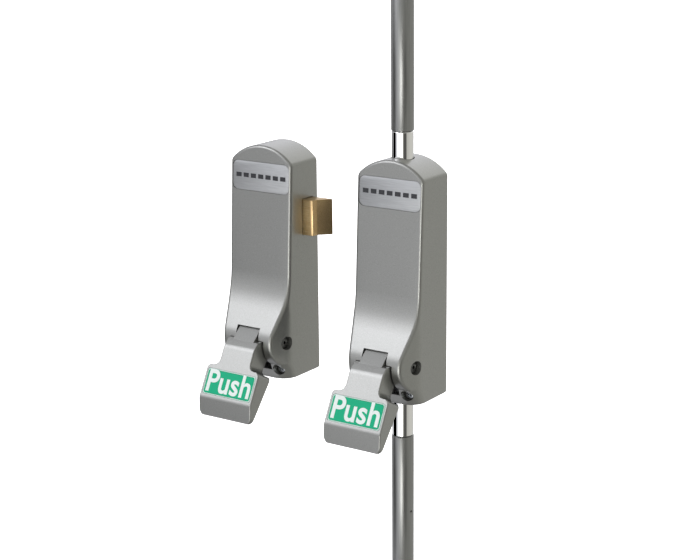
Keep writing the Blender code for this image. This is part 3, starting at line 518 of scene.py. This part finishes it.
rings = [leaning_outline(25.1, badge_low + 0.1, badge_high - 0.1, 4.4, level) for level in (-0.9, -0.3)]
badge = lofted("rod_badge_plate", rings)
soften(badge, 0.12, 40.0, 2)
smooth(badge)
enamel_blocks = []
row_height, half_wide, half_tall = 148.2, 2.35, 1.6
for step in range(-3, 4):
    centre = step * 6.6
    outline = [(centre - half_wide, row_height - half_tall), (centre + half_wide, row_height - half_tall),
               (centre + half_wide, row_height + half_tall), (centre - half_wide, row_height + half_tall)]
    rings = [[at(x, face_depth(height) + level, height) for x, height in outline]
             for level in (-0.35, -0.24)]
    enamel_blocks.append(lofted("enamel", rings))
bpy.ops.object.select_all(action="DESELECT")
for piece in enamel_blocks:
    piece.select_set(True)
bpy.context.view_layer.objects.active = enamel_blocks[0]
bpy.ops.object.join()
enamel = bpy.context.object
enamel.name = "rod_badge_enamel"

# brushed aluminium: lines along x, drawn 0.3 mm apart, on a cool pale grey
badge_metal, tree, shader, place = new_finish("brushed_badge_aluminium", "#AEB0B3", 0.55, 0.42)
stretch = add_node(tree, "ShaderNodeMapping", {"Scale": (0.03, 1.0, 1.0)}, {"Vector": (place, "Object")})
brush = add_node(tree, "ShaderNodeTexNoise", {"Scale": 1000 / 0.3, "Detail": 3.0},
                 {"Vector": (stretch, "Vector")})
apply_pattern(tree, shader, brush, tones=("#A6A8AA", "#B9BBBD"), roughness=(0.36, 0.48))
dark_enamel, tree, shader, place = new_finish("dark_enamel", "#2B2C30", 0.0, 0.3)
settle_marks = add_node(tree, "ShaderNodeTexNoise", {"Scale": 1000 / 1.0},
                        {"Vector": (place, "Object")})
apply_pattern(tree, shader, settle_marks, roughness=(0.25, 0.4))
dress(badge, badge_metal, "body", "badge_metal", "rod_badge")
dress(enamel, dark_enamel, "body", "badge_metal")
dress(twin(badge, "latch_badge_plate"), badge_metal, "body", "badge_metal", "latch_badge")
dress(twin(enamel, "latch_badge_enamel"), dark_enamel, "body", "badge_metal")


# --- Hinge pins ---------------------------------------------------------------------------
# A turned steel pin runs through the cheeks and the pad's hub. Its socket head sits in one
# side's sink, and a sleeve nut with the same head closes the other side.

head = [(19.8, 3.0), (19.8, 4.2), (20.0, 4.4), (22.7, 4.4), (23.3, 4.1), (23.65, 3.4), (23.8, 2.6)]
pin = turned("rod_hinge_pin_turned", "x", hinge, [(-17.0, 2.7), (-16.7, 3.0)] + head)
carve(pin, turned("socket", "x", hinge, [(21.4, 1.5), (25.0, 1.5)], 6))
nut_head = [(-place, radius) for place, radius in reversed(head)]
nut = turned("rod_hinge_nut_turned", "x", hinge, nut_head + [(-17.3, 3.0)])
carve(nut, turned("socket", "x", hinge, [(-25.0, 1.5), (-21.4, 1.5)], 6))

# blackened steel: a thin oxide skin that leaves the metal dark and satin
blackened, tree, shader, place = new_finish("blackened_steel", "#5A5B5A", 0.9, 0.35)
skin = add_node(tree, "ShaderNodeTexNoise", {"Scale": 1000 / 0.8, "Detail": 3.0},
                {"Vector": (place, "Object")})
apply_pattern(tree, shader, skin, tones=("#4C4D4C", "#6B6C6B"))
for piece, node in ((pin, "hinge_pin"), (nut, "hinge_nut")):
    smooth(piece)
    dress(piece, blackened, "body", "steel", "rod_" + node)
    dress(twin(piece, "latch_" + node + "_turned"), blackened, "body", "steel", "latch_" + node)


# --- Push pads ----------------------------------------------------------------------------
# One zinc casting, painted like the covers: a wide paddle, a waisted neck, a tongue that fills
# the cover's slot and turns on the hinge pin, and a finger that lifts the slide or carriage.

bend, crease = (61.0, 29.8), (81.15, -8.6)
pad_lean = math.atan2(crease[0] - bend[0], bend[1] - crease[1])


def on_face(down, inward):
    """A point in the pad's side view, by distance down its face and in behind it."""
    return (bend[0] + down * math.sin(pad_lean) - inward * math.cos(pad_lean),
            bend[1] - down * math.cos(pad_lean) - inward * math.sin(pad_lean))


def face_body(name, outline, inner, outer):
    """An outline on the pad's face as (x, distance down), pushed square to that face."""
    return lofted(name, [[at(x, *on_face(down, inward)) for x, down in outline]
                         for inward in (inner, outer)])


# the side view, with the bend under the shoulder drawn as a short curve
shoulder, turn_low, face_high = (57.75, 31.0), on_face(3.5, 0.0), on_face(5.6, 0.0)
turn_high = tuple(low + 0.3 * (high - low) for low, high in zip(turn_low, shoulder))
bent = []
for share in (0.0, 0.25, 0.5, 0.75, 1.0):
    bent.append(tuple((1 - share) ** 2 * a + 2 * share * (1 - share) * b + share ** 2 * c
                      for a, b, c in zip(turn_high, turn_low, face_high)))
profile = [shoulder] + bent + [on_face(42.4, 0.0), on_face(43.1, 0.12), (81.35, -9.6), (81.9, -21.6),
                               (81.6, -22.5), (80.8, -22.9), (79.8, -22.9), (47.9, 15.6),
                               (44.8, 22.0), (44.8, 31.0)]
rod_pad = pushed("rod_push_pad_casting", profile, "x", -25.0, 25.0)

# the front view: a narrow neck, then the paddle's shoulders and its round lower corners
right = [(14.0, -30.0)] + arc((19.0, 13.6), 5.0, 180, 90, 8)
right += arc((20.1, 22.1), 3.5, -90, 0, 6) + arc((18.9, 51.5), 4.7, 0, 90, 8)
outline = right + [(-x, down) for x, down in reversed(right)]
carve(rod_pad, face_body("outline", outline, -6.0, 40.0), "INTERSECT")


def on_front_outline(edge):
    """Whether an edge is between the pad's front and its sides."""
    ways = sorted((face.normal for face in edge.link_faces), key=lambda normal: normal.y)
    on_front = ways[0].y < -0.6 and ways[0].z > -0.3 and abs(ways[0].x) < 0.01
    return on_front and abs(ways[1].x) > 0.3


# the front's outline is rounded by itself, and then what is left of the sharp edges
pad_round = 0.9
round_edges(rod_pad, on_front_outline, pad_round, 3)
soften(rod_pad, pad_round, 40.0, 3)
pocket = [on_face(22.4, 3.0), on_face(43.0, 3.0), (78.7, -18.0), (72.0, -18.0), (55.5, 2.0)]
carve(rod_pad, pushed("pocket", pocket, "x", -21.0, 21.0))

# the tongue is round about the hinge where it passes the slot, and the finger's tip is half round
first = math.degrees(math.atan2(39.8 - hinge[1], 47.8 - hinge[0]))
outline = [(58.0, 24.0), (57.6, 30.9)] + arc(hinge, 14.3, first, 96, 14)
outline += [(34.0, 37.0), (31.5, 31.9), (31.5, 25.3), (36.0, 21.8), (47.0, 20.0)]
tongue = pushed("tongue", outline, "x", -9.5, 9.5)
soften(tongue, 0.35, 40.0, 2)
finger_root, finger_tip, finger_half = 34.0, hinge[0] - 23.7, 3.2
outline = arc((finger_root, hinge[1]), finger_half, -90, 90, 10)
outline += arc((finger_tip, hinge[1]), finger_half, 90, 270, 10)
finger = pushed("finger", outline, "x", -4.5, 4.5)
carve(rod_pad, tongue, "UNION")
carve(rod_pad, finger, "UNION")
carve(rod_pad, turned("bore", "x", hinge, [(-12, 5.2), (12, 5.2)]))
carve(rod_pad, face_body("recess", round_box(21.9, 21.6, 41.1, 2.0, 6), -2.0, 0.75))
smooth(rod_pad, 30.0)
apply_modifier(rod_pad, "WEIGHTED_NORMAL", keep_sharp=True)
dress(rod_pad, silver_paint, "rod_pad", "silver_paint", "rod_push_pad")
dress(twin(rod_pad, "latch_push_pad_casting"), silver_paint, "latch_pad", "silver_paint",
      "latch_push_pad")


# --- Push labels --------------------------------------------------------------------------
# A printed polycarbonate plate let into each pad: a pale margin, a thin dark green line, a
# green ground and a single word in raised white ink.

label = face_body("rod_label_plate", round_box(21.6, 21.9, 40.8, 1.8, 6), 0.5, 0.02)
green_ground = face_body("rod_label_green", round_box(20.5, 22.9, 39.8, 1.6, 6), 0.1, -0.01)
green_line = face_body("rod_label_line", round_box(20.9, 22.5, 40.2, 1.9, 6), 0.1, 0.005)
bpy.ops.object.select_all(action="DESELECT")
bpy.ops.object.text_add()
word = bpy.context.object
word.name = "rod_label_word"
word.data.body = "Push"
word.data.align_x, word.data.align_y = "CENTER", "CENTER"
word.data.size, word.data.offset, word.data.extrude = 0.0205, 0.00038, 0.00008
word.data.space_character = 1.02
bpy.ops.object.convert(target="MESH")
down_face = Vector((0.0, -math.sin(pad_lean), -math.cos(pad_lean)))
out_face = Vector((0.0, -math.cos(pad_lean), math.sin(pad_lean)))
turn = Matrix((Vector((1, 0, 0)), -down_face, out_face)).transposed().to_4x4()
middle = at(0.0, *on_face(31.4, -0.05))
word.data.transform(Matrix.Translation(middle) @ turn @ Matrix.Diagonal((1.04, 1.12, 1.0, 1.0)))

# printed films: flat inks under a satin lacquer with a faint 0.5 mm texture
inks, film_roughness = {}, 0.5
for name, colour in (("pale_label_margin", "#BFE0D4"), ("label_line_green", "#0C8F66"),
                     ("label_ground_green", "#0AAE80"), ("white_ink", "#E9F1EF")):
    inks[name], tree, shader, place = new_finish(name, colour, 0.0, film_roughness)
    film = add_node(tree, "ShaderNodeTexNoise", {"Scale": 1000 / 0.5, "Detail": 1.0},
                    {"Vector": (place, "Object")})
    apply_pattern(tree, shader, film, roughness=(film_roughness - 0.05, film_roughness + 0.07),
                  relief=(0.006, 0.2))
    shader.inputs["Specular IOR Level"].default_value = 0.2
for piece, ink, nodes in ((label, "pale_label_margin", ["push_label"]),
                          (green_line, "label_line_green", []),
                          (green_ground, "label_ground_green", []), (word, "white_ink", [])):
    dress(piece, inks[ink], "rod_pad", "label_green", *["rod_" + node for node in nodes])
    dress(twin(piece, piece.name.replace("rod", "latch")), inks[ink], "latch_pad", "label_green",
          *["latch_" + node for node in nodes])


# --- Cover screws -------------------------------------------------------------------------
# Two zinc-plated pan-head machine screws under each nose, with cross recesses, which pull the
# cover onto the backplate's pillars.

for side, side_name in ((-1, "left"), (1, "right")):
    centre = (side * screw_place[0], screw_place[1])
    screw = turned("rod_cover_screw_%s_turned" % side_name, "depth", centre, [
        (16.0, 1.6), (16.4, 2.0), (36.3, 2.0), (36.3, 3.5), (36.5, 3.6), (37.5, 3.6), (38.1, 3.2),
        (38.45, 2.3), (38.6, 1.2)], 40)
    for angle in (20.0, 110.0):
        recess = block("recess", (-2.2, 37.3, -0.42), (2.2, 40.0, 0.42))
        recess.data.transform(Matrix.Translation(at(0, 0, 0)).inverted())
        recess.data.transform(Matrix.Translation(at(centre[0], 0, centre[1]))
                              @ Matrix.Rotation(math.radians(angle), 4, "Y"))
        carve(screw, recess)
    smooth(screw)
    dress(screw, zinc_plate, "body", "zinc_plate", "rod_cover_screw_" + side_name)
    dress(twin(screw, "latch_cover_screw_%s_turned" % side_name), zinc_plate, "body", "zinc_plate",
          "latch_cover_screw_" + side_name)


# --- Latch bolt ---------------------------------------------------------------------------
# A brass bolt with a bevelled closing face, drawn and then brushed along its length. A slotted
# tail behind it takes the bell crank's pin.

profile = [(10.0, 5.6), (44.5, 5.6), (44.7, 5.8), (36.6, 13.9)]
profile += arc((34.0, 15.3), 3.2, 42, 90, 8) + [(10.0, 18.5)]
bolt = pushed("latch_bolt_brass", profile, "height", 105.8, 132.0)
soften(bolt, 0.35, 45.0, 3)
tail = block("tail", (-6.06, 8.0, 112.2), (11.0, 12.0, 124.6))
slot_outline = arc((-1.16, 119.8), 2.95, 0, 180, 10) + arc((-1.16, 118.03), 2.95, 180, 360, 10)
carve(tail, pushed("slot", slot_outline, "depth", 5.0, 15.0))
carve(bolt, tail, "UNION")
bolt.data.transform(Matrix.Translation((unit_step, 0.0, 0.0)))

# brushed brass, toned brown: scratches run along x and are drawn 0.35 mm apart
brass, tree, shader, place = new_finish("brushed_toned_brass", "#D8BC92", 1.0, 0.34)
stretch = add_node(tree, "ShaderNodeMapping", {"Scale": (0.05, 1.0, 1.0)}, {"Vector": (place, "Object")})
brush = add_node(tree, "ShaderNodeTexNoise", {"Scale": 1000 / 0.35, "Detail": 4.0},
                 {"Vector": (stretch, "Vector")})
apply_pattern(tree, shader, brush, tones=("#B4966A", "#D2B98E"),
              roughness=(0.26, 0.44), relief=(0.02, 0.35))
smooth(bolt, 30.0)
dress(bolt, brass, "bolt", "brass", "latch_bolt")


# --- Rods ---------------------------------------------------------------------------------
# Each rod is a grey-painted steel tube pinned to its carriage through a chromed spigot. The
# far end carries a bright steel bolt with a round nose, held in line by a cast guide.

# chrome plate: a mirror with the least haze
chrome, tree, shader, place = new_finish("chrome_plate", "#E9E9E8", 1.0, 0.05)
polish = add_node(tree, "ShaderNodeTexNoise", {"Scale": 1000 / 2.5, "Detail": 3.0},
                  {"Vector": (place, "Object")})
apply_pattern(tree, shader, polish, roughness=(0.035, 0.08))

# rod paint: a darker satin grey with the tube's faint drawing lines, 0.5 mm apart, under it
rod_paint, tree, shader, place = new_finish("satin_grey_rod_paint", "#8E8F8E", 0.75, 0.3)
stretch = add_node(tree, "ShaderNodeMapping", {"Scale": (1.0, 1.0, 0.02)}, {"Vector": (place, "Object")})
draw = add_node(tree, "ShaderNodeTexNoise", {"Scale": 1000 / 0.5, "Detail": 3.0},
                {"Vector": (stretch, "Vector")})
apply_pattern(tree, shader, draw, tones=("#868786", "#969796"), roughness=(0.26, 0.34))


def ends_of(name, way):
    """A node's ends in height over the foot, the near one first when the rod goes that way."""
    low, high = [end[2] * 1000.0 - cover_low[2] * 1000.0 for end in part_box(name)]
    return (low, high) if way > 0 else (high, low)


for name, way, bare_length in (("lower", -1.0, 12.0), ("upper", 1.0, 13.0)):
    near, far = ends_of(name + "_rod", way)
    body = name + "_rod_drive"
    inner = ends_of(name + "_spigot", way)[0]
    shoulder = inner + way * bare_length
    spigot = turned(name + "_spigot_chromed", "height", rod_axis, [
        (inner, 4.7), (inner + way * 0.3, 5.0), (shoulder, 5.0), (shoulder, 7.5),
        (shoulder + way * 0.2, 7.7), (near - way * 0.9, 7.7), (near - way * 0.5, 7.4),
        (near - way * 0.3, 6.2), (near + way * 15.0, 6.2)], 96)
    cross = sum(ends_of(name + "_rod_pin", way)) / 2.0
    carve(spigot, turned("cross", "x", (rod_axis[1], cross), [(-12, 1.8), (12, 1.8)], 24))
    smooth(spigot)
    dress(spigot, chrome, body, "chrome", name + "_spigot")

    tube = turned(name + "_rod_tube", "height", rod_axis, [
        (near, 7.6), (near + way * 0.15, 7.85), (near + way * 0.5, 8.0), (far - way * 0.5, 8.0),
        (far - way * 0.15, 7.85), (far, 7.6)], 96)
    bore_low, bore_high = min(near, far) - 1, max(near, far) + 1
    carve(tube, turned("bore", "height", rod_axis, [(bore_low, 6.5), (bore_high, 6.5)], 96))
    if way < 0:
        # a spring pin's hole shows low on the right of the lower tube
        carve(tube, turned("pin_hole", "x", (16.5, -90.0), [(5.0, 0.9), (9.0, 0.9)], 24))
    smooth(tube)
    dress(tube, rod_paint, body, "rod_paint", name + "_rod")

    end = ends_of(name + "_bolt_tip", way)[1]
    nose = [(end - way * 4.0 + way * run, radius) for radius, run in arc((3.7, 0.0), 4.0, 0, 90, 6)]
    tip = turned(name + "_bolt_tip_turned", "height", rod_axis, [
        (far - way * 15.0, 6.2), (far + way * 0.3, 6.2), (far + way * 0.4, 7.5),
        (far + way * 0.6, 7.7)] + nose, 96)
    smooth(tip)
    dress(tip, turned_steel, body, "steel", name + "_bolt_tip")

    centre = sum(ends_of(name + "_rod_guide", way)) / 2.0
    plate = round_box(24.0, centre - 9.0, centre + 9.0, 4.0, 6)
    guide = pushed(name + "_rod_guide_casting", plate, "depth", 0.0, 3.0)
    outline = arc(rod_axis, 12.0, 0, 180, 24) + [(-13.5, 2.0), (13.5, 2.0)]
    collar = pushed("collar", outline, "height", centre - 7.0, centre + 7.0)
    carve(guide, collar, "UNION")
    soften(guide, 0.6, 45.0, 3)
    carve(guide, turned("bore", "height", rod_axis, [(centre - 20, rod_hole), (centre + 20, rod_hole)]))
    for side in (-1, 1):
        carve(guide, turned("fixing", "depth", (side * 19.0, centre), [(-1.0, 2.4), (4.0, 2.4)], 32))
    smooth(guide)
    dress(guide, silver_paint, "body", "silver_paint", name + "_rod_guide")


# --- Floor, lights and camera -------------------------------------------------------------
# A pale floor lies just under the lower rod's tip. One soft light stands high in front, soft
# panels glow all round the studio, and the view is from the right and a little above.

bpy.ops.object.select_all(action="DESELECT")
bpy.ops.mesh.primitive_plane_add(size=12.0, location=(0.0, 0.0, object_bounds()[0][2] - 0.0005))
floor = bpy.context.object
floor.name = "floor"
floor_paint, tree, shader, place = new_finish("floor_paint", "#F2F2F2", 0.0, 0.8)
speckle = add_node(tree, "ShaderNodeTexNoise", {"Scale": 4.0}, {"Vector": (place, "Object")})
apply_pattern(tree, shader, speckle, roughness=(0.75, 0.85))
shader.inputs["Emission Color"].default_value = linear("#FFFFFF")
shader.inputs["Emission Strength"].default_value = 1.2
floor.data.materials.append(floor_paint)
floor.visible_glossy = False
floor.visible_diffuse = False

world = bpy.data.worlds.new("studio")
bpy.context.scene.world = world
world.use_nodes = True
tree = world.node_tree
background = tree.nodes["Background"]
background.inputs["Color"].default_value = linear("#FFFFFF")
place = add_node(tree, "ShaderNodeTexCoord")

# each panel of light: its direction, the angles its edge fades between, and its strength over the
# base; the first seven are bright, in front and behind, and the last three are dark gaps
glow, base = None, 0.55
for towards, inner, outer, power in (((-0.53, -0.61, 0.59), 8.0, 25.0, 2.5),
                                     ((-0.45, -0.88, 0.06), 10.0, 38.0, 0.55),
                                     ((0.08, -0.96, -0.254), 12.0, 28.0, 1.1),
                                     ((0.30, -0.92, -0.254), 5.0, 14.0, 5.0),
                                     ((-0.20, 0.80, 0.56), 12.0, 46.0, 0.75),
                                     ((0.545, 0.80, -0.20), 20.0, 60.0, 0.1),
                                     ((-0.52, -0.60, -0.60), 8.0, 22.0, 0.5),
                                     ((0.848, -0.53, -0.26), 12.0, 20.0, -0.45),
                                     ((-0.80, -0.55, -0.26), 13.0, 25.0, -0.75),
                                     ((0.10, 0.10, -0.99), 20.0, 50.0, -0.2)):
    aim = add_node(tree, "ShaderNodeVectorMath", {1: Vector(towards).normalized()},
                   {0: (place, "Generated")}, operation="DOT_PRODUCT")
    fade = {"From Min": math.cos(math.radians(outer)), "From Max": math.cos(math.radians(inner)),
            "To Max": power}
    panel = add_node(tree, "ShaderNodeMapRange", fade, {"Value": (aim, "Value")},
                     interpolation_type="SMOOTHSTEP")
    links = {1: (panel, "Result")}
    if glow:
        links[0] = (glow, "Value")
    glow = add_node(tree, "ShaderNodeMath", {0: base}, links, operation="ADD")

# the left of the studio is a little cool and the right a little warm, and the backdrop is plain
way = add_node(tree, "ShaderNodeSeparateXYZ", links={"Vector": (place, "Generated")})
warmth = add_node(tree, "ShaderNodeMapRange", {"From Min": -0.5, "From Max": 0.6}, {"Value": (way, "X")})
tint = add_node(tree, "ShaderNodeMix", {6: linear("#FAFAFF"), 7: linear("#FFFEF6")},
                {0: (warmth, "Result")}, data_type="RGBA")
tree.links.new(tint.outputs[2], background.inputs["Color"])
seen = add_node(tree, "ShaderNodeLightPath")
backdrop = add_node(tree, "ShaderNodeMix", {"B": 1.6},
                    {"Factor": (seen, "Is Camera Ray"), "A": (glow, "Value")})
tree.links.new(backdrop.outputs["Result"], background.inputs["Strength"])

lamp = bpy.data.lights.new("front_high", "AREA")
lamp.shape, lamp.size, lamp.energy = "SQUARE", 0.7, 2.2
lamp.color = linear("#F6F7FF")[:3]
holder = bpy.data.objects.new("front_high", lamp)
holder.location = (-0.85, -0.88, 1.1)
faced = holder.location - Vector((-0.05, 0.0, 0.0))
holder.rotation_euler = faced.to_track_quat("Z", "Y").to_euler()
bpy.context.scene.collection.objects.link(holder)

# the camera's three axes, turned by its yaw, pitch and roll, and its place measured along them
yaw, pitch, roll = math.radians(34.29), math.radians(14.71), math.radians(-0.52)
right_way = Vector((math.cos(yaw), math.sin(yaw), 0.0))
up_way = Vector((-math.sin(yaw) * math.sin(pitch), math.cos(yaw) * math.sin(pitch), math.cos(pitch)))
back_way = Vector((math.sin(yaw) * math.cos(pitch), -math.cos(yaw) * math.cos(pitch), math.sin(pitch)))
rolled_right = math.cos(roll) * right_way + math.sin(roll) * up_way
rolled_up = math.cos(roll) * up_way - math.sin(roll) * right_way
offset = -(0.0465 * rolled_right - 0.0768 * rolled_up - 1.2317 * back_way)
view = bpy.data.cameras.new("camera")
view.lens, view.sensor_width, view.clip_start, view.clip_end = 87.4, 36.0, 0.05, 50.0
camera = bpy.data.objects.new("camera", view)
axes = Matrix((rolled_right, rolled_up, back_way)).transposed().to_4x4()
camera.matrix_world = Matrix.Translation(offset + Vector((0.0, 0.0, cover_low[2]))) @ axes
bpy.context.scene.collection.objects.link(camera)
bpy.context.scene.camera = camera
bpy.context.scene.view_settings.view_transform = "Standard"
